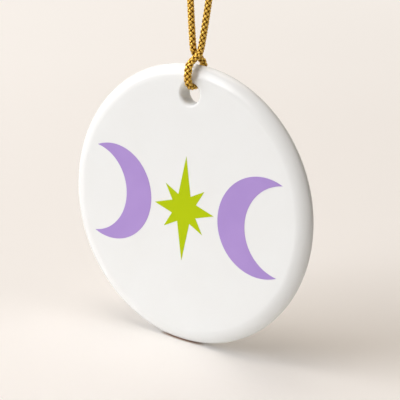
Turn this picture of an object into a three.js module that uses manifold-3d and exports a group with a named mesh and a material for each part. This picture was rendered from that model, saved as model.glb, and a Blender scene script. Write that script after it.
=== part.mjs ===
import * as THREE from 'three';
import { mergeVertices } from 'three/addons/utils/BufferGeometryUtils.js';
import Module from 'manifold-3d';

const wasm = await Module();
wasm.setup();

// A flat round ornament of glazed ceramic with printed crescents and a star,
// hanging from a knitted cord that passes through the hole near its rim.
// Millimetres, +Z up. The face looks along -Y, and the origin is the point where a hook holds the cord.

// Ceramic disc
const discDiameter = 73;
const discThickness = 4.5;
const rimRoundInward = 3.8;
const rimRoundDeep = 2.1;
const rimFullness = 1.7;
const holeDiameter = 5.4;
const holeLip = 0.9;
const bridgeHeight = 4.5;

// Prints on the face, drawn for a disc of this diameter and scaled with it
const printsDrawnFor = 73;
const printThickness = 0.1;
const printsBelowCentre = 0.45;
const crescentRadius = 12.9;
const crescentHollowRadius = 11.9;
const crescentHollowShift = 7.05;
const crescentCentreOut = 23.3;
const starRayUpright = 13.8;
const starRaySide = 9.2;
const starRayDiagonal = 8.3;
const starDiagonalDegrees = 43.5;
const starNotchRadius = 4.05;
const starNotchLowDegrees = 25.2;
const starNotchHighDegrees = 62;

// Cord
const cordDiameter = 1.65;
const cordGap = 0.3;
const pinchAboveRim = 2.3;
const pinchBallRadius = 1.75;
const hookAboveRim = 22;
const knotAboveRim = 25.9;
const knotWrapRadius = 1.55;
const knotWrapTilt = 28;
const knotWrapSpacing = 1.6;
const knotCoreHeight = 4.4;
const tailLength = 6;
const tailSplay = 22;
const tailSag = 0.2;

// Fineness of the round surfaces
const discSides = 112;
const rimSteps = 7;
const holeSides = 36;
const lipSteps = 5;
const crescentSteps = 40;
const cordSides = 8;
const holeLoopSteps = 34;
const crossingSteps = 5;
const strandSteps = 11;
const tailSteps = 3;
const ballSides = 28;
const wrapSides = 24;
const mergeTolerance = 1e-4;
const curveSamples = 2000;

// Sizes that follow from those above
const discRadius = discDiameter / 2;
const holeRadius = holeDiameter / 2;
const faceY = -discThickness / 2;
const cordRadius = cordDiameter / 2;
const rimTop = -hookAboveRim;
const discCentreZ = rimTop - discRadius;
const holeCentreZ = rimTop - bridgeHeight - holeRadius;
const printScale = discDiameter / printsDrawnFor;
const printCentreZ = discCentreZ - printsBelowCentre * printScale;
const pinchZ = rimTop + pinchAboveRim;
const knotZ = rimTop + knotAboveRim;

// The cord's route from the middle of the hole, round the front of the rim, past the other side
// and up to the knot, as x, y and height above the rim. The other half is this one turned by
// half a turn about the upright axis.
const routeFromHole = [
  [0, 0, -5.7],
  [0, -1.2, -5.66],
  [0.02, -2.4, -5.3],
  [0.05, -3.2, -4.4],
  [0.08, -3.5, -3.1],
  [0.1, -3.52, -1.8],
  [0.1, -3.36, -0.55],
  [0.12, -2.85, 0.5],
  [0.34, -1.98, 1.3],
  [0.76, -1.02, 2.05],
  [1.06, -0.3, 3],
  [1.2, 0.05, 4.3],
  [1.5, 0.12, 6.6],
  [2.15, 0.08, 11.4],
  [2.8, 0, 17],
  [2.86, 0, 19.4],
  [2.2, 0, 21.5],
  [1.1, 0, 23],
];

// Finish of each kind of piece
const ceramicWhite = { color: 0xf0eeea, roughness: 0.12, metalness: 0 };
const lavenderPrint = { color: 0xb294d8, roughness: 0.2, metalness: 0 };
const limePrint = { color: 0xb4d00a, roughness: 0.2, metalness: 0 };
const goldCord = { color: 0xb98425, roughness: 0.4, metalness: 0.7 };

const radians = THREE.MathUtils.degToRad;
const ornament = new THREE.Group();

function addPiece(name, geometry, finish) {
  const piece = new THREE.Mesh(geometry, new THREE.MeshStandardMaterial(finish));
  piece.name = name;
  ornament.add(piece);
  return piece;
}

// A closed geometry as a solid that can be cut or joined
function solidFrom(geometry) {
  const bare = geometry.clone();
  bare.deleteAttribute('normal');
  bare.deleteAttribute('uv');
  const merged = mergeVertices(bare, mergeTolerance);
  return new wasm.Manifold(new wasm.Mesh({
    numProp: 3,
    vertProperties: new Float32Array(merged.attributes.position.array),
    triVerts: new Uint32Array(merged.index.array),
  }));
}

function geometryFrom(solid) {
  const mesh = solid.getMesh();
  const geometry = new THREE.BufferGeometry();
  geometry.setAttribute('position', new THREE.BufferAttribute(mesh.vertProperties, mesh.numProp));
  geometry.setIndex(new THREE.BufferAttribute(mesh.triVerts, 1));
  geometry.computeVertexNormals();
  return geometry;
}

// Points of a quarter round in the plane of a turned profile. A fullness of 2 is an ellipse,
// and less is nearer to a straight slope with softened ends.
function quarterRound(centreR, centreY, widthR, depthY, fromDegrees, steps, fullness = 2) {
  const reach = (part) => Math.sign(part) * Math.abs(part) ** (2 / fullness);
  const points = [];
  for (let i = 0; i <= steps; i += 1) {
    const angle = radians(fromDegrees + (90 * i) / steps);
    const r = centreR + widthR * reach(Math.cos(angle));
    points.push(new THREE.Vector2(r, centreY + depthY * reach(Math.sin(angle))));
  }
  return points;
}

// The disc before its hole is cut, turned about Y
function discBlank() {
  const flatRadius = discRadius - rimRoundInward;
  const roundY = discThickness / 2 - rimRoundDeep;
  const quarter = [rimRoundInward, rimRoundDeep];
  const profile = [
    new THREE.Vector2(0, faceY),
    ...quarterRound(flatRadius, -roundY, ...quarter, -90, rimSteps, rimFullness),
    ...quarterRound(flatRadius, roundY, ...quarter, 0, rimSteps, rimFullness),
    new THREE.Vector2(0, -faceY),
  ];
  return new THREE.LatheGeometry(profile, discSides);
}

// What the hole takes away: a bore that opens out to rounded lips at both faces
function holeCutter() {
  const mouthRadius = holeRadius + holeLip;
  const outside = discThickness;
  const lipY = discThickness / 2 - holeLip;
  const profile = [
    new THREE.Vector2(0, -outside),
    new THREE.Vector2(mouthRadius, -outside),
    ...quarterRound(mouthRadius, -lipY, holeLip, holeLip, 180, lipSteps).reverse(),
    ...quarterRound(mouthRadius, lipY, holeLip, holeLip, 90, lipSteps).reverse(),
    new THREE.Vector2(mouthRadius, outside),
    new THREE.Vector2(0, outside),
  ];
  return new THREE.LatheGeometry(profile, holeSides);
}

function ceramicDisc() {
  const blank = solidFrom(discBlank().translate(0, 0, discCentreZ));
  const cutter = solidFrom(holeCutter().translate(0, 0, holeCentreZ));
  return geometryFrom(blank.subtract(cutter));
}

// A thin printed figure, its back exactly on the face of the disc
function printSolid(points) {
  const shape = new THREE.Shape(points.map((point) => point.multiplyScalar(printScale)));
  const geometry = new THREE.ExtrudeGeometry(shape, { depth: printThickness, bevelEnabled: false });
  geometry.rotateX(Math.PI / 2);
  geometry.translate(0, faceY, printCentreZ);
  return geometry;
}

// A crescent between its outer circle and the smaller one that hollows it.
// Side -1 is the left one, with its horns to the left, and 1 the right one.
function crescentPoints(side) {
  const shift = crescentHollowShift;
  const hornX = (shift ** 2 + crescentRadius ** 2 - crescentHollowRadius ** 2) / (2 * shift);
  const outerHorn = Math.acos(hornX / crescentRadius);
  const hollowHorn = Math.acos((hornX - shift) / crescentHollowRadius);
  const points = [];
  for (let i = 0; i <= crescentSteps; i += 1) {
    const angle = THREE.MathUtils.lerp(outerHorn, 2 * Math.PI - outerHorn, i / crescentSteps);
    points.push([crescentRadius * Math.cos(angle), crescentRadius * Math.sin(angle)]);
  }
  for (let i = 1; i < crescentSteps; i += 1) {
    const angle = THREE.MathUtils.lerp(2 * Math.PI - hollowHorn, hollowHorn, i / crescentSteps);
    points.push([shift + crescentHollowRadius * Math.cos(angle), crescentHollowRadius * Math.sin(angle)]);
  }
  return points.map(([x, z]) => new THREE.Vector2(side * (crescentCentreOut + x), z));
}

// Eight rays, long ones up and down, with a notch between each two
function starPoints() {
  const quarter = [
    [starRaySide, 0],
    [starNotchRadius, starNotchLowDegrees],
    [starRayDiagonal, starDiagonalDegrees],
    [starNotchRadius, starNotchHighDegrees],
    [starRayUpright, 90],
  ];
  const upper = [...quarter, ...quarter.slice(0, -1).reverse().map(([r, degrees]) => [r, 180 - degrees])];
  const lower = upper.slice(1, -1).map(([r, degrees]) => [r, degrees + 180]);
  return [...upper, ...lower].map(([r, degrees]) => {
    const angle = radians(degrees);
    return new THREE.Vector2(r * Math.cos(angle), r * Math.sin(angle));
  });
}

// The whole cord as one smooth curve, from the knot through the hole and back to the knot
function cordCurve() {
  const lift = ([x, y, height]) => new THREE.Vector3(x, y, rimTop + height);
  const front = routeFromHole.map(lift);
  const back = routeFromHole.slice(1).reverse().map(([x, y, height]) => lift([-x, -y, height]));
  return new THREE.CatmullRomCurve3([...back, ...front], false, 'centripetal');
}

// Where along the curve, as a share of its length, it first comes within a distance of the pinch,
// looking from the middle of the hole towards the knot
function shareAtPinch(curve, distance, inward) {
  const pinch = new THREE.Vector3(0, 0, pinchZ);
  let wasInside = false;
  for (let i = curveSamples / 2; i <= curveSamples; i += 1) {
    const share = i / curveSamples;
    const inside = curve.getPointAt(share).distanceTo(pinch) < distance;
    if (inside !== wasInside && inside === inward) {
      return share;
    }
    wasInside = inside;
  }
  throw new Error('The cord does not pass the pinch');
}

// A tube along a stretch of the cord
function cordTube(curve, fromShare, toShare, steps) {
  const points = [];
  for (let i = 0; i <= steps; i += 1) {
    points.push(curve.getPointAt(THREE.MathUtils.lerp(fromShare, toShare, i / steps)));
  }
  const path = new THREE.CatmullRomCurve3(points, false, 'centripetal');
  const section = new THREE.Shape();
  for (let i = 0; i < cordSides; i += 1) {
    const angle = (2 * Math.PI * (i + 0.5)) / cordSides;
    const x = cordRadius * Math.cos(angle);
    const y = cordRadius * Math.sin(angle);
    if (i === 0) {
      section.moveTo(x, y);
    } else {
      section.lineTo(x, y);
    }
  }
  section.closePath();
  return new THREE.ExtrudeGeometry(section, { steps, extrudePath: path, bevelEnabled: false });
}

function pinchBall(radius) {
  return solidFrom(new THREE.SphereGeometry(radius, ballSides, ballSides / 2).translate(0, 0, pinchZ));
}

// The same piece turned by half a turn about the upright axis
function turned(geometry) {
  return geometry.clone().rotateZ(Math.PI);
}

// The stretch that goes round the ceramic between hole and rim, up to the crossing on both sides
function holeLoop(curve) {
  const end = shareAtPinch(curve, pinchBallRadius, true);
  const tube = solidFrom(cordTube(curve, 1 - end, end, holeLoopSteps));
  return geometryFrom(tube.subtract(pinchBall(pinchBallRadius + cordGap)));
}

// One side of the cord where the two cross
function crossing(curve) {
  const start = shareAtPinch(curve, pinchBallRadius + cordRadius, true);
  const end = shareAtPinch(curve, pinchBallRadius + cordRadius, false);
  const tube = solidFrom(cordTube(curve, start, end, crossingSteps));
  return geometryFrom(tube.intersect(pinchBall(pinchBallRadius)));
}

// One side of the cord from the crossing up to the knot
function strand(curve) {
  const start = shareAtPinch(curve, pinchBallRadius, false);
  const tube = solidFrom(cordTube(curve, start, 1, strandSteps));
  return geometryFrom(tube.subtract(pinchBall(pinchBallRadius + cordGap)));
}

// The knot that ties both ends: two slanting wraps round a core
function endKnot() {
  const core = new THREE.CylinderGeometry(cordDiameter, cordDiameter, knotCoreHeight, wrapSides);
  core.rotateX(Math.PI / 2);
  let knot = solidFrom(core);
  for (const side of [-1, 1]) {
    const wrap = new THREE.TorusGeometry(knotWrapRadius, cordRadius, cordSides, wrapSides);
    wrap.rotateY(radians(knotWrapTilt));
    wrap.translate(0, 0, (side * knotWrapSpacing) / 2);
    knot = knot.add(solidFrom(wrap));
  }
  return geometryFrom(knot).translate(0, 0, knotZ);
}

// A short tail of cord above the knot
function tail() {
  const base = new THREE.Vector3(cordRadius, 0, knotZ + knotCoreHeight / 2 + cordGap);
  const lean = radians(tailSplay);
  const tip = base.clone().add(new THREE.Vector3(tailLength * Math.sin(lean), 0, tailLength * Math.cos(lean)));
  const middle = base.clone().add(tip).divideScalar(2);
  middle.x -= tailSag;
  const curve = new THREE.CatmullRomCurve3([base, middle, tip], false, 'centripetal');
  return cordTube(curve, 0, 1, tailSteps);
}

addPiece('ceramic_disc', ceramicDisc(), ceramicWhite);
addPiece('left_crescent_print', printSolid(crescentPoints(-1).reverse()), lavenderPrint);
addPiece('right_crescent_print', printSolid(crescentPoints(1)), lavenderPrint);
addPiece('star_print', printSolid(starPoints()), limePrint);

const curve = cordCurve();
const crossingFront = crossing(curve);
const strandRight = strand(curve);
const tailRight = tail();
addPiece('cord_hole_loop', holeLoop(curve), goldCord);
addPiece('cord_crossing_front', crossingFront, goldCord);
addPiece('cord_crossing_back', turned(crossingFront), goldCord);
addPiece('cord_strand_right', strandRight, goldCord);
addPiece('cord_strand_left', turned(strandRight), goldCord);
addPiece('cord_end_knot', endKnot(), goldCord);
addPiece('cord_tail_right', tailRight, goldCord);
addPiece('cord_tail_left', turned(tailRight), goldCord);

export default ornament;
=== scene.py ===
# A round ornament of white glazed ceramic with printed moons and a star, hung on a braided gold cord
import math
import bmesh
import bpy
import numpy as np
from mathutils import Matrix, Vector


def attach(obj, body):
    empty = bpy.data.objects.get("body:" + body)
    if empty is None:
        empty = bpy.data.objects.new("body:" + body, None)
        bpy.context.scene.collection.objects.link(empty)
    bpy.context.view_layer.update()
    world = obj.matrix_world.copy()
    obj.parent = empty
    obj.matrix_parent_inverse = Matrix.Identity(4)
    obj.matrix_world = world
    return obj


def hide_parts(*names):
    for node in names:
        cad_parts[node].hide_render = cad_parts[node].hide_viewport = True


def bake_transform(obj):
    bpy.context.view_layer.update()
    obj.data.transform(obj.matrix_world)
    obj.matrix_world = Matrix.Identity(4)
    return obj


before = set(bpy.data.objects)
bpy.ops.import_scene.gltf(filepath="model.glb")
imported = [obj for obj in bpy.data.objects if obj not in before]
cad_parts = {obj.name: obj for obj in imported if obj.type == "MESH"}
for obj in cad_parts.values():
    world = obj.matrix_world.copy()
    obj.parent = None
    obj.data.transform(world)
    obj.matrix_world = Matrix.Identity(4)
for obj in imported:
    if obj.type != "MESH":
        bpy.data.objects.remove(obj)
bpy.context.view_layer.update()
mm = 0.001
print("frame loaded:", len(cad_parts), "solids")

# camera

view = {
    "yaw": 34.25,  # degrees round from the face towards its right
    "rise": 16.293,
    "roll": 3.051,
    "distance": 329.2 * mm,
    "lens": 116.81,
    "clipStart": 0.01,
    "aim": (3.285 * mm, 0.0, -56.366 * mm),
}


def placeCamera(s):
    yaw, rise, roll = (math.radians(s[key]) for key in ("yaw", "rise", "roll"))
    back = Vector((math.sin(yaw) * math.cos(rise), -math.cos(yaw) * math.cos(rise), math.sin(rise)))
    level = (-back).cross(Vector((0, 0, 1))).normalized()
    upright = level.cross(-back)
    across = level * math.cos(roll) + upright * math.sin(roll)
    upward = upright * math.cos(roll) - level * math.sin(roll)
    data = bpy.data.cameras.new("photoCamera")
    data.lens = s["lens"]
    data.clip_start = s["clipStart"]
    camera = bpy.data.objects.new("photoCamera", data)
    bpy.context.collection.objects.link(camera)
    turn = Matrix((across, upward, back)).transposed().to_4x4()
    camera.matrix_world = Matrix.Translation(Vector(s["aim"]) + back * s["distance"]) @ turn
    bpy.context.scene.camera = camera


placeCamera(view)
print("camera placed")

# cord: one length of round braid, from its left tail through the knot, round the ceramic and back

cord = {
    "diameter": 1.65 * mm,
    "rimTop": -22.0,
    "crossing": 2.3,  # heights above the rim, in mm as the routes are
    "seam": 2.6,
    # x, y and height above the rim from the middle of the hole round the front and up
    "route": [
        (0, 0, -5.42), (0, -1.5, -5.42), (0, -2.55, -4.97), (0.02, -3.2, -4.0), (0.05, -3.5, -2.8),
        (0.1, -3.52, -1.8), (0.1, -3.36, -0.55), (0.12, -2.85, 0.5), (0.34, -1.98, 1.3), (0.76, -1.02, 2.05),
        (1.06, -0.3, 3), (1.2, 0.05, 4.3), (1.5, 0.12, 6.6), (2.15, 0.08, 11.4), (2.8, 0, 17),
        (2.86, 0, 19.4), (2.2, 0, 21.5), (1.1, 0, 23),
    ],
    # in the knot each side goes once round the other, from this height, and rises by this much
    "wrapFrom": 24.3,
    "wrapRise": 3.4,
    "wrapRadius": 1.7,
    "wrapPoints": 12,
    "tail": [(1.0, 0.12, 28.8), (1.15, 0.1, 30.2), (1.75, -0.1, 32.1), (3.0, -0.25, 34.0)],
    "spacing": 0.05,  # between the samples of the middle line, mm
    "splineSteps": 60,
    "pathPoints": 200,
    # heights above the crossing, in mm
    "blendOver": (9.0, 1.2),
    "blendUnder": (-0.75, -2.4),
}

braid = {
    "each": 4,  # yarns in each direction
    "lay": 5.4,  # mm of cord for one turn of a yarn
    "middle": 0.58,  # radius of the yarns' middle line, mm
    "wave": 0.18,  # how far a yarn goes out and in as it passes over and under
    "wide": 0.285,  # half width and half thickness of a yarn
    "thick": 0.17,
    "lobes": 5,
    "lobeDepth": 0.13,
    "lobeTwist": 2.4,  # radians in a mm
    "around": 15,
    "step": 0.13,
    "core": 0.3,
    "coreAround": 8,
    "fewestSteps": 8,
    "frayFrom": 1.0,  # mm from a tail's end where its yarns begin to spread
    "frayOut": 0.35,
    # over the rim the cord is pressed flat between these heights, by these shares
    "pressFrom": (-5.0, -3.8),
    "pressTo": (0.1, 1.2),
    "pressWide": 0.2,
    "pressThin": 0.1,
}


def alongRoute(points, spacing, steps):
    # a centripetal spline through the points, with samples at an even spacing
    points = [np.array(p, float) for p in points]
    ends = [2 * points[0] - points[1], *points, 2 * points[-1] - points[-2]]
    fine = []
    for p0, p1, p2, p3 in zip(ends, ends[1:], ends[2:], ends[3:]):
        d0, d1, d2 = (np.linalg.norm(b - a) ** 0.5 for a, b in ((p0, p1), (p1, p2), (p2, p3)))
        m1 = ((p1 - p0) / d0 - (p2 - p0) / (d0 + d1) + (p2 - p1) / d1) * d1
        m2 = ((p2 - p1) / d1 - (p3 - p1) / (d1 + d2) + (p3 - p2) / d2) * d1
        t = np.linspace(0, 1, steps, endpoint=False)[:, None]
        fine.append(
            (2 * t**3 - 3 * t**2 + 1) * p1 + (t**3 - 2 * t**2 + t) * m1
            + (3 * t**2 - 2 * t**3) * p2 + (t**3 - t**2) * m2
        )
    line = np.vstack([*fine, points[-1]])
    run = np.concatenate([[0], np.cumsum(np.linalg.norm(np.diff(line, axis=0), axis=1))])
    even = np.linspace(0, run[-1], int(run[-1] / spacing) + 1)
    return np.stack([np.interp(even, run, line[:, i]) for i in range(3)], 1)


def carriedFrames(line):
    # a side direction that is carried along the line without turning about it
    tangents = np.gradient(line, axis=0)
    tangents /= np.linalg.norm(tangents, axis=1)[:, None]
    sides = np.zeros_like(line)
    side = np.cross(tangents[0], (0, 1, 0))
    for i, tangent in enumerate(tangents):
        side = side - tangent * (side @ tangent)
        side /= np.linalg.norm(side)
        sides[i] = side
    return tangents, sides, np.cross(tangents, sides)


def knotWrap(s):
    # one turn of a coil, which the other side's turn lies between
    count = s["wrapPoints"]
    turns = [2 * math.pi * i / count for i in range(count + 1)]
    radius, low, rise = s["wrapRadius"], s["wrapFrom"], s["wrapRise"]
    return [(radius * math.cos(t), radius * math.sin(t), low + rise * t / (2 * math.pi)) for t in turns]


def wholeCord(s):
    half = [*s["route"], *knotWrap(s), *s["tail"]]
    other = [(-x, -y, z) for x, y, z in half[1:]]
    line = alongRoute([*reversed(other), *half], s["spacing"], s["splineSteps"])
    line[:, 2] += s["rimTop"]
    run = np.concatenate([[0], np.cumsum(np.linalg.norm(np.diff(line, axis=0), axis=1))])
    return line, run, *carriedFrames(line)


cordLine, cordRun, cordTangents, cordSides, cordOthers = wholeCord(cord)
print("cord route:", round(float(cordRun[-1]), 1), "mm")


def alongCord(at):
    # place and frame at distances along the whole cord
    pick = lambda rows: np.stack([np.interp(at, cordRun, rows[:, i]) for i in range(3)], 1)
    return pick(cordLine), pick(cordSides), pick(cordOthers)


def tube(centres, outward, across, halfThick, halfWide, lobes, depth, twist, around):
    # rings of points round a line, as a closed tube with its ends filled
    turns = np.linspace(0, 2 * math.pi, around, endpoint=False)
    run = np.concatenate([[0], np.cumsum(np.linalg.norm(np.diff(centres, axis=0), axis=1))])
    swell = 1 + depth * np.cos(lobes * turns[None, :] + twist * run[:, None])
    a = (swell * np.cos(turns) * halfThick)[..., None]
    b = (swell * np.sin(turns) * halfWide)[..., None]
    points = centres[:, None] + a * outward[:, None] + b * across[:, None]
    rings = len(centres)
    faces = []
    for i in range(rings - 1):
        low, high = i * around, (i + 1) * around
        for j in range(around):
            k = (j + 1) % around
            faces.append((low + j, low + k, high + k, high + j))
    faces.append(tuple(reversed(range(around))))
    faces.append(tuple(range((rings - 1) * around, rings * around)))
    return points.reshape(-1, 3), faces


def unit(rows):
    return rows / np.linalg.norm(rows, axis=1)[:, None]


def eased(value, low, high):
    t = np.clip((value - low) / (high - low), 0, 1)
    return t * t * (3 - 2 * t)


def pressed(s, middle, points):
    # the cord spreads where it is drawn over the rim
    rings = points.reshape(len(middle), -1, 3)
    height = middle[:, 2] - cord["rimTop"]
    press = eased(height, *s["pressFrom"]) * (1 - eased(height, *s["pressTo"]))
    scale = np.stack([1 + s["pressWide"] * press, 1 - s["pressThin"] * press, np.ones_like(press)], 1)
    return (middle[:, None] + (rings - middle[:, None]) * scale[:, None]).reshape(-1, 3)


def yarnTube(s, index, start, end):
    # one yarn's path over and under the others, between two distances along the cord
    way = 1 if index < s["each"] else -1
    steps = max(s["fewestSteps"], int((end - start) / s["step"]))
    at = np.linspace(start, end, steps)
    angle = way * 2 * math.pi * at / s["lay"] + 2 * math.pi * (index % s["each"]) / s["each"]
    out = s["middle"] + way * s["wave"] * np.cos(2 * math.pi * at / (s["lay"] / s["each"]))
    toEnd = np.minimum(at, cordRun[-1] - at)
    out = out * (1 + s["frayOut"] * (1 - eased(toEnd, 0, s["frayFrom"])))
    middle, side, other = alongCord(at)
    outward = np.cos(angle)[:, None] * side + np.sin(angle)[:, None] * other
    centres = middle + outward * out[:, None]
    along = unit(np.gradient(centres, axis=0))
    outward = unit(outward - along * np.sum(outward * along, axis=1)[:, None])
    across = np.cross(along, outward)
    lobes = (s["lobes"], s["lobeDepth"], s["lobeTwist"])
    points, faces = tube(centres, outward, across, s["thick"], s["wide"], *lobes, s["around"])
    reach = np.linalg.norm(points.reshape(steps, -1, 3) - middle[:, None], axis=2).ravel()
    return pressed(s, middle, points), faces, reach


def newPiece(name, points, faces):
    mesh = bpy.data.meshes.new(name)
    mesh.from_pydata((np.asarray(points) * mm).tolist(), [], faces)
    if len(faces) > 1:
        shell = bmesh.new()
        shell.from_mesh(mesh)
        bmesh.ops.recalc_face_normals(shell, faces=shell.faces)
        shell.to_mesh(mesh)
        shell.free()
    mesh.shade_smooth()
    mesh.update()
    piece = bpy.data.objects.new(name, mesh)
    bpy.context.collection.objects.link(piece)
    return piece


def braidedPiece(name, start, end):
    points, faces, reaches, count = [], [], [], 0
    for index in range(2 * braid["each"]):
        yarnPoints, yarnFaces, reach = yarnTube(braid, index, start, end)
        points.append(yarnPoints)
        reaches.append(reach)
        faces += [tuple(v + count for v in face) for face in yarnFaces]
        count += len(yarnPoints)
    steps = max(braid["fewestSteps"], int((end - start) / (2 * braid["step"])))
    at = np.linspace(start, end, steps)
    middle, side, other = alongCord(at)
    core = (braid["core"], braid["core"])
    corePoints, coreFaces = tube(middle, side, other, *core, 0, 0, 0, braid["coreAround"])
    points.append(pressed(braid, middle, corePoints))
    reaches.append(np.full(len(corePoints), braid["core"]))
    faces += [tuple(v + count for v in face) for face in coreFaces]
    piece = newPiece(name, np.vstack(points), faces)
    # how far out each point lies, for the yarn's colour: painted shade between the yarns and a painted
    # highlight on their crowns
    depth = piece.data.attributes.new("yarnReach", "FLOAT", "POINT")
    depth.data.foreach_set("value", np.concatenate(reaches).astype(np.float32))
    return piece


hangs = -cord["rimTop"]
heights = cordLine[:, 2] + hangs
half = len(cordLine) // 2
rightSeam = float(cordRun[half + np.argmax(heights[half:] > cord["seam"])])
leftSeam = float(cordRun[-1]) - rightSeam

cordLeft = braidedPiece("cordLeft", 0, leftSeam)
cordHoleLoop = braidedPiece("cordHoleLoop", leftSeam, rightSeam)
cordRight = braidedPiece("cordRight", rightSeam, float(cordRun[-1]))
print("cord braided: seams at", round(leftSeam, 1), round(rightSeam, 1))

for piece, start, end in ((cordLeft, 0, leftSeam), (cordRight, rightSeam, float(cordRun[-1]))):
    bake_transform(piece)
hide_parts("cord_strand_left", "cord_tail_left")
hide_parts("cord_strand_right", "cord_tail_right", "cord_end_knot")
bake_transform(cordHoleLoop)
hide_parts("cord_hole_loop", "cord_crossing_front", "cord_crossing_back")

# ceramic disc

disc = {
    "diameter": 73.0,
    "thickness": 4.5,
    "roundInward": 3.8,  # how far the rim's rounding reaches in over a face
    "roundDeep": 2.1,
    "fullness": 1.7,  # 2 is an ellipse, less is nearer to a straight slope
    "hole": 5.4,
    "lip": 0.9,
    "bridge": 4.5,  # ceramic between the hole and the rim
    "sides": 288,
    "rimSteps": 20,
    "holeSides": 96,
    "lipSteps": 10,
    "flatsLead": 100,  # weight that large faces have in the smoothing
}
discCentre = cord["rimTop"] - disc["diameter"] / 2
holeCentre = cord["rimTop"] - disc["bridge"] - disc["hole"] / 2


def quarter(centre, reach, fromDegrees, steps, fullness=2.0):
    turns = np.radians(np.linspace(fromDegrees, fromDegrees + 90, steps + 1))
    across = [math.copysign(abs(math.cos(t)) ** (2 / fullness), math.cos(t)) for t in turns]
    along = [math.copysign(abs(math.sin(t)) ** (2 / fullness), math.sin(t)) for t in turns]
    return [(centre[0] + reach[0] * a, centre[1] + reach[1] * b) for a, b in zip(across, along)]


def turned(name, profile, sides, height):
    # a closed solid of rings about an axis that runs from front to back
    turns = np.linspace(0, 2 * math.pi, sides, endpoint=False)
    points = [(r * math.cos(t), y, r * math.sin(t) + height) for r, y in profile for t in turns]
    faces = []
    for i in range(len(profile) - 1):
        for j in range(sides):
            k = (j + 1) % sides
            faces.append((i * sides + j, i * sides + k, (i + 1) * sides + k, (i + 1) * sides + j))
    faces.append(tuple(reversed(range(sides))))
    faces.append(tuple(range((len(profile) - 1) * sides, len(profile) * sides)))
    return newPiece(name, points, faces)


def glazedDisc(s):
    face = s["thickness"] / 2
    flat = s["diameter"] / 2 - s["roundInward"]
    depth = face - s["roundDeep"]
    reach = (s["roundInward"], s["roundDeep"])
    profile = quarter((flat, -depth), reach, -90, s["rimSteps"], s["fullness"])
    profile += quarter((flat, depth), reach, 0, s["rimSteps"], s["fullness"])
    body = turned("glazedDisc", profile, s["sides"], discCentre)
    mouth = s["hole"] / 2 + s["lip"]
    lipDepth = face - s["lip"]
    lip = (s["lip"], s["lip"])
    cut = [(mouth, -2 * face)]
    cut += quarter((mouth, -lipDepth), lip, 180, s["lipSteps"])[::-1]
    cut += quarter((mouth, lipDepth), lip, 90, s["lipSteps"])[::-1]
    cut += [(mouth, 2 * face)]
    cutter = turned("holeCutter", cut, s["holeSides"], holeCentre)
    change = body.modifiers.new("hole", "BOOLEAN")
    change.object = cutter
    change.solver = "EXACT"
    weigh = body.modifiers.new("evenNormals", "WEIGHTED_NORMAL")
    weigh.weight = s["flatsLead"]
    bpy.context.view_layer.update()
    shaped = bpy.data.meshes.new_from_object(body.evaluated_get(bpy.context.evaluated_depsgraph_get()))
    body.modifiers.clear()
    body.data = shaped
    bpy.data.objects.remove(cutter)
    return body


ceramic = glazedDisc(disc)
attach(ceramic, "ornament")
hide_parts("ceramic_disc")
print("disc made:", len(ceramic.data.polygons), "faces")

# prints on the face

prints = {
    "thick": 0.05,
    "sunk": 0.01,
    "below": 0.45,  # the figures' middle lies this far under the disc's
    "crescent": 12.9,
    "hollow": 11.9,
    "hollowShift": 7.05,
    "crescentOut": 23.3,
    "crescentSteps": 120,
    "rayUp": 13.8,
    "raySide": 9.2,
    "rayDiagonal": (8.3, 43.5),
    "notchLow": (4.05, 25.2),
    "notchHigh": (4.05, 62.0),
    "raySteps": 6,
}


def crescentOutline(s, side):
    shift, outer, inner = s["hollowShift"], s["crescent"], s["hollow"]
    hornX = (shift**2 + outer**2 - inner**2) / (2 * shift)
    outerHorn = math.acos(hornX / outer)
    innerHorn = math.acos((hornX - shift) / inner)
    arc = np.linspace(outerHorn, 2 * math.pi - outerHorn, s["crescentSteps"] + 1)
    hollow = np.linspace(2 * math.pi - innerHorn, innerHorn, s["crescentSteps"] + 1)[1:-1]
    points = [(outer * math.cos(t), outer * math.sin(t)) for t in arc]
    points += [(shift + inner * math.cos(t), inner * math.sin(t)) for t in hollow]
    return [(side * (s["crescentOut"] + x), z) for x, z in points]


def starOutline(s):
    quarterStar = [(s["raySide"], 0), s["notchLow"], s["rayDiagonal"], s["notchHigh"], (s["rayUp"], 90)]
    upper = quarterStar + [(r, 180 - d) for r, d in reversed(quarterStar[:-1])]
    around = upper + [(r, d + 180) for r, d in upper[1:-1]]
    corners = [(r * math.cos(math.radians(d)), r * math.sin(math.radians(d))) for r, d in around]
    points = []
    for (x0, z0), (x1, z1) in zip(corners, corners[1:] + corners[:1]):
        for i in range(s["raySteps"]):
            t = i / s["raySteps"]
            points.append((x0 + (x1 - x0) * t, z0 + (z1 - z0) * t))
    return points


def printPiece(name, outline, s):
    back = -disc["thickness"] / 2
    middle = discCentre - s["below"]
    n = len(outline)
    points = [(x, back + s["sunk"], z + middle) for x, z in outline]
    points += [(x, back - s["thick"], z + middle) for x, z in outline]
    faces = [(i, (i + 1) % n, n + (i + 1) % n, n + i) for i in range(n)]
    faces += [tuple(range(n))[::-1], tuple(range(n, 2 * n))]
    piece = newPiece(name, points, faces)
    piece.data.shade_flat()
    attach(piece, "ornament")
    return piece


leftCrescent = printPiece("leftCrescent", crescentOutline(prints, -1), prints)
rightCrescent = printPiece("rightCrescent", crescentOutline(prints, 1), prints)
star = printPiece("star", starOutline(prints), prints)
for piece, slot, node in (
    (leftCrescent, "lavender_print", "left_crescent_print"),
    (rightCrescent, "lavender_print", "right_crescent_print"),
    (star, "lime_print", "star_print"),
):
    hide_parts(node)
print("prints made")

# materials


def linear(red, green, blue):
    # a colour given as 0 to 255 of the screen
    parts = [c / 255 for c in (red, green, blue)]
    return tuple(c / 12.92 if c <= 0.04045 else ((c + 0.055) / 1.055) ** 2.4 for c in parts) + (1.0,)


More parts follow.
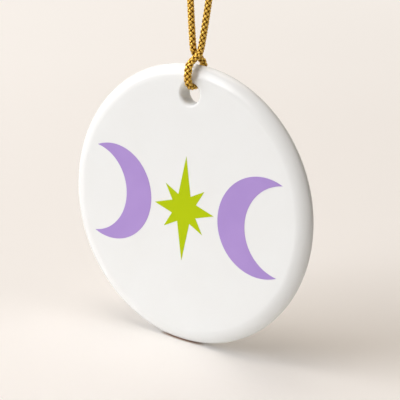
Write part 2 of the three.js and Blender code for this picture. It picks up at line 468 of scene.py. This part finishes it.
def newGroup(name, inputs, outputs):
    group = bpy.data.node_groups.new(name, "ShaderNodeTree")
    for label, kind, value in inputs:
        socket = group.interface.new_socket(label, in_out="INPUT", socket_type=kind)
        socket.default_value = value
    for label, kind in outputs:
        group.interface.new_socket(label, in_out="OUTPUT", socket_type=kind)
    return group, group.nodes.new("NodeGroupInput"), group.nodes.new("NodeGroupOutput")


def add(tree, kind, links=(), **values):
    # a node with some of its settings and sockets filled in
    node = tree.nodes.new(kind)
    for key, value in values.items():
        if hasattr(node, key) and key not in node.inputs:
            setattr(node, key, value)
        else:
            node.inputs[key].default_value = value
    for socket, source in links:
        tree.links.new(source, node.inputs[socket])
    return node


ripple = {"peelShare": 0.06, "height": 0.0004}


def glazeRippleGroup(s):
    tree, given, result = newGroup(
        "glazeRipple",
        [
            ("Wave", "NodeSocketFloat", 90),
            ("Peel", "NodeSocketFloat", 900),
            ("Strength", "NodeSocketFloat", 0.1),
        ],
        [("Normal", "NodeSocketVector"), ("Cloud", "NodeSocketFloat")],
    )
    place = add(tree, "ShaderNodeTexCoord").outputs["Object"]
    waveLinks = [("Vector", place), ("Scale", given.outputs["Wave"])]
    wave = add(tree, "ShaderNodeTexNoise", waveLinks, Detail=2).outputs["Fac"]
    peelLinks = [("Vector", place), ("Scale", given.outputs["Peel"])]
    peel = add(tree, "ShaderNodeTexNoise", peelLinks, Detail=1).outputs["Fac"]
    both = add(tree, "ShaderNodeMath", [(0, peel), (2, wave)], operation="MULTIPLY_ADD")
    both.inputs[1].default_value = s["peelShare"]
    bumpLinks = [("Height", both.outputs[0]), ("Strength", given.outputs["Strength"])]
    bump = add(tree, "ShaderNodeBump", bumpLinks, Distance=s["height"])
    tree.links.new(bump.outputs["Normal"], result.inputs["Normal"])
    tree.links.new(wave, result.inputs["Cloud"])
    return tree


glazeRipple = glazeRippleGroup(ripple)


def newMaterial(name):
    material = bpy.data.materials.new(name)
    material.use_nodes = True
    shader = material.node_tree.nodes["Principled BSDF"]
    return material, material.node_tree, shader


def mixColours(tree, mask, first, second):
    mix = tree.nodes.new("ShaderNodeMix")
    mix.data_type = "RGBA"
    mix.inputs["A"].default_value = first if isinstance(first, tuple) else (0, 0, 0, 1)
    mix.inputs["B"].default_value = second if isinstance(second, tuple) else (0, 0, 0, 1)
    if not isinstance(first, tuple):
        tree.links.new(first, mix.inputs["A"])
    if not isinstance(second, tuple):
        tree.links.new(second, mix.inputs["B"])
    tree.links.new(mask, mix.inputs["Factor"])
    return mix.outputs["Result"]


glazeLook = {
    "colour": linear(243, 246, 246),
    "shade": linear(240, 242, 241),
    "ripple": 0.08,
    "roughness": 0.11,
    "specular": 0.25,
    "coat": 0.14,
    "coatRoughness": 0.05,
    "index": 1.5,
}
inkLook = {"roughness": 0.35, "specular": 0.08, "coat": 0.02}


def glazed(name, colour, shade, look):
    material, tree, shader = newMaterial(name)
    group = tree.nodes.new("ShaderNodeGroup")
    group.node_tree = glazeRipple
    group.inputs["Strength"].default_value = glazeLook["ripple"]
    tree.links.new(group.outputs["Normal"], shader.inputs["Normal"])
    tree.links.new(mixColours(tree, group.outputs["Cloud"], colour, shade), shader.inputs["Base Color"])
    shader.inputs["Roughness"].default_value = look["roughness"]
    shader.inputs["IOR"].default_value = glazeLook["index"]
    shader.inputs["Specular IOR Level"].default_value = look["specular"]
    shader.inputs["Coat Weight"].default_value = look["coat"]
    shader.inputs["Coat Roughness"].default_value = glazeLook["coatRoughness"]
    return material


whiteGlaze = glazed("whiteGlaze", glazeLook["colour"], glazeLook["shade"], glazeLook)
lavenderInk = glazed("lavenderInk", linear(170, 143, 211), linear(186, 158, 222), inkLook)
limeInk = glazed("limeInk", linear(182, 203, 2), linear(188, 208, 8), inkLook)


yarnLook = {
    # painted shade deep between the yarns and a painted highlight on their crowns, over the yarn's own gold
    "shadedDeep": linear(54, 25, 1),
    "flank": linear(146, 98, 8),
    "crownHighlight": linear(220, 182, 84),
    "reach": (0.46, 0.7, 0.9),  # mm from the cord's middle where the three colours lie
    "grain": 5200,
    "grainStrength": 0.5,
    "grainHeight": 0.00006,
    "metallic": 0.85,
    "roughness": 0.3,
}


def goldYarn(s):
    material, tree, shader = newMaterial("goldYarn")
    reach = add(tree, "ShaderNodeAttribute", attribute_name="yarnReach")
    # painted shade towards the cord's middle and a painted highlight out on the yarns' crowns
    masks = []
    for low, high in zip(s["reach"], s["reach"][1:]):
        spread = add(
            tree, "ShaderNodeMapRange", [("Value", reach.outputs["Fac"])], interpolation_type="SMOOTHSTEP"
        )
        spread.inputs["From Min"].default_value = low
        spread.inputs["From Max"].default_value = high
        masks.append(spread.outputs["Result"])
    place = add(tree, "ShaderNodeTexCoord")
    grain = add(tree, "ShaderNodeTexNoise", [("Vector", place.outputs["Object"])], Scale=s["grain"], Detail=2)
    flank = mixColours(tree, masks[0], s["shadedDeep"], s["flank"])
    colour = mixColours(tree, masks[1], flank, s["crownHighlight"])
    tree.links.new(colour, shader.inputs["Base Color"])
    bump = add(
        tree, "ShaderNodeBump", [("Height", grain.outputs["Fac"])],
        Strength=s["grainStrength"], Distance=s["grainHeight"],
    )
    tree.links.new(bump.outputs["Normal"], shader.inputs["Normal"])
    shader.inputs["Metallic"].default_value = s["metallic"]
    shader.inputs["Roughness"].default_value = s["roughness"]
    return material


gold = goldYarn(yarnLook)
for piece, material in (
    (ceramic, whiteGlaze), (leftCrescent, lavenderInk), (rightCrescent, lavenderInk), (star, limeInk),
    (cordLeft, gold), (cordRight, gold), (cordHoleLoop, gold),
):
    piece.data.materials.clear()
    piece.data.materials.append(material)
print("materials made")

# floor and lights

studio = {
    "floorDrop": 0.06,  # mm under the disc's lowest point
    "floorReach": 3.0,
    "floorNear": linear(248, 246, 243),
    "floorFar": linear(253, 252, 250),
    "paintedLightFade": (0.04, 0.4),  # metres from the disc over which the paper is painted paler, painted light where the lamps reach it less
    "sweep": (0.3, 1.2),  # metres over which it turns into the backdrop
    "paintedContactShadow": linear(150, 100, 62),  # painted contact shadow: what the paper's colour sinks to right under the rim
    "contactReach": 0.0008,
    "contactSamples": 12,
    "grain": 900,
    "grainStrength": 0.15,
    "grainHeight": 0.0002,
    "roughness": 0.75,
    "specular": 0.1,
    "world": 0.04,
    "worldColour": linear(255, 232, 210),
    "backdrop": linear(248, 242, 235),
}


def paperFadeGroup():
    tree, given, result = newGroup(
        "paperFade",
        [("From", "NodeSocketFloat", 0.05), ("To", "NodeSocketFloat", 0.6)],
        [("Mask", "NodeSocketFloat")],
    )
    place = add(tree, "ShaderNodeTexCoord")
    away = add(tree, "ShaderNodeVectorMath", [(0, place.outputs["Object"])], operation="LENGTH")
    ends = [("From Min", given.outputs["From"]), ("From Max", given.outputs["To"])]
    spread = add(tree, "ShaderNodeMapRange", [("Value", away.outputs["Value"]), *ends])
    tree.links.new(spread.outputs["Result"], result.inputs["Mask"])
    return tree


def fadeMask(tree, group, reach):
    node = tree.nodes.new("ShaderNodeGroup")
    node.node_tree = group
    node.inputs["From"].default_value, node.inputs["To"].default_value = reach
    return node.outputs["Mask"]


def seenRay(tree):
    # 1 for what the camera sees, also in gloss and through glass
    path = tree.nodes.new("ShaderNodeLightPath")
    mirrored = add(
        tree, "ShaderNodeMath",
        [(0, path.outputs["Is Glossy Ray"]), (1, path.outputs["Is Transmission Ray"])],
        operation="MAXIMUM",
    )
    seen = add(
        tree, "ShaderNodeMath",
        [(0, path.outputs["Is Camera Ray"]), (1, mirrored.outputs[0])],
        operation="MAXIMUM",
    )
    return seen.outputs[0]


def palePaper(s):
    material, tree, shader = newMaterial("palePaper")
    fadeGroup = paperFadeGroup()
    # painted light: the paper grows paler away from the disc, where the lamps light it less
    paintedPaler = fadeMask(tree, fadeGroup, s["paintedLightFade"])
    paper = mixColours(tree, paintedPaler, s["floorNear"], s["floorFar"])
    # painted contact shadow: ambient occlusion darkens the paper right under the rim
    near = add(tree, "ShaderNodeAmbientOcclusion", samples=s["contactSamples"])
    near.inputs["Distance"].default_value = s["contactReach"]
    shaded = mixColours(tree, near.outputs["AO"], s["paintedContactShadow"], paper)
    # far off the paper turns into the backdrop, so that no edge shows
    gone = fadeMask(tree, fadeGroup, s["sweep"])
    tree.links.new(mixColours(tree, gone, shaded, (0, 0, 0, 1)), shader.inputs["Base Color"])
    glow = add(tree, "ShaderNodeMath", [(0, gone), (1, seenRay(tree))], operation="MULTIPLY")
    tree.links.new(glow.outputs[0], shader.inputs["Emission Strength"])
    shader.inputs["Emission Color"].default_value = s["backdrop"]
    place = add(tree, "ShaderNodeTexCoord")
    grain = add(tree, "ShaderNodeTexNoise", [("Vector", place.outputs["Object"])], Scale=s["grain"], Detail=3)
    bump = add(
        tree, "ShaderNodeBump", [("Height", grain.outputs["Fac"])],
        Strength=s["grainStrength"], Distance=s["grainHeight"],
    )
    tree.links.new(bump.outputs["Normal"], shader.inputs["Normal"])
    shader.inputs["Roughness"].default_value = s["roughness"]
    shader.inputs["Specular IOR Level"].default_value = s["specular"]
    return material


def makeFloor(s):
    low = discCentre - disc["diameter"] / 2 - s["floorDrop"]
    reach = s["floorReach"] / mm
    points = [(x * reach, y * reach, low) for x, y in ((-1, -1), (1, -1), (1, 1), (-1, 1))]
    floor = newPiece("paleFloor", points, [(0, 1, 2, 3)])
    floor.data.materials.append(palePaper(s))
    return floor


def softLight(name, place, aim, size, power, colour):
    data = bpy.data.lights.new(name, "AREA")
    data.shape = "RECTANGLE"
    data.size, data.size_y = size
    data.energy = power
    data.color = colour
    light = bpy.data.objects.new(name, data)
    light.location = place
    light.rotation_mode = "QUATERNION"
    light.rotation_quaternion = (Vector(aim) - Vector(place)).to_track_quat("-Z", "Y")
    bpy.context.collection.objects.link(light)


def makeWorld(s):
    world = bpy.data.worlds.new("paleRoom")
    bpy.context.scene.world = world
    world.use_nodes = True
    tree = world.node_tree
    tree.nodes.clear()
    out = tree.nodes.new("ShaderNodeOutputWorld")
    room = add(tree, "ShaderNodeBackground", Color=s["worldColour"], Strength=s["world"])
    seen = add(tree, "ShaderNodeBackground", Color=s["backdrop"], Strength=1.0)
    blend = add(tree, "ShaderNodeMixShader", [(0, seenRay(tree))])
    tree.links.new(room.outputs[0], blend.inputs[1])
    tree.links.new(seen.outputs[0], blend.inputs[2])
    tree.links.new(blend.outputs[0], out.inputs[0])


makeFloor(studio)
makeWorld(studio)
lamps = {
    # degrees round from the front to the left, degrees up, metres off,
    # then the lamp's width and height, its power and its colour
    "window": (46, 29, 2.5, (2.2, 1.5), 43.0, (1.0, 1.0, 1.03)),
    "lowWindow": (68, 8, 2.5, (1.4, 0.9), 6.5, (1.0, 1.0, 1.02)),
    "frontWindow": (22, 22, 2.5, (0.9, 0.7), 6.0, (1.0, 1.0, 1.02)),
    "ceiling": (62, 77, 2.5, (1.6, 1.6), 29.5, (1.0, 0.91, 0.82)),
    "backWindow": (138, 55, 2.5, (2.0, 1.4), 12.0, (1.0, 0.91, 0.82)),
}
middle = Vector((0, 0, discCentre * mm))
for name, (around, up, away, size, power, colour) in lamps.items():
    around, up = math.radians(around), math.radians(up)
    way = Vector((-math.sin(around) * math.cos(up), -math.cos(around) * math.cos(up), math.sin(up)))
    softLight(name, middle + way * away, middle, size, power, colour)
bpy.context.scene.view_settings.view_transform = "Standard"
print("studio lit")
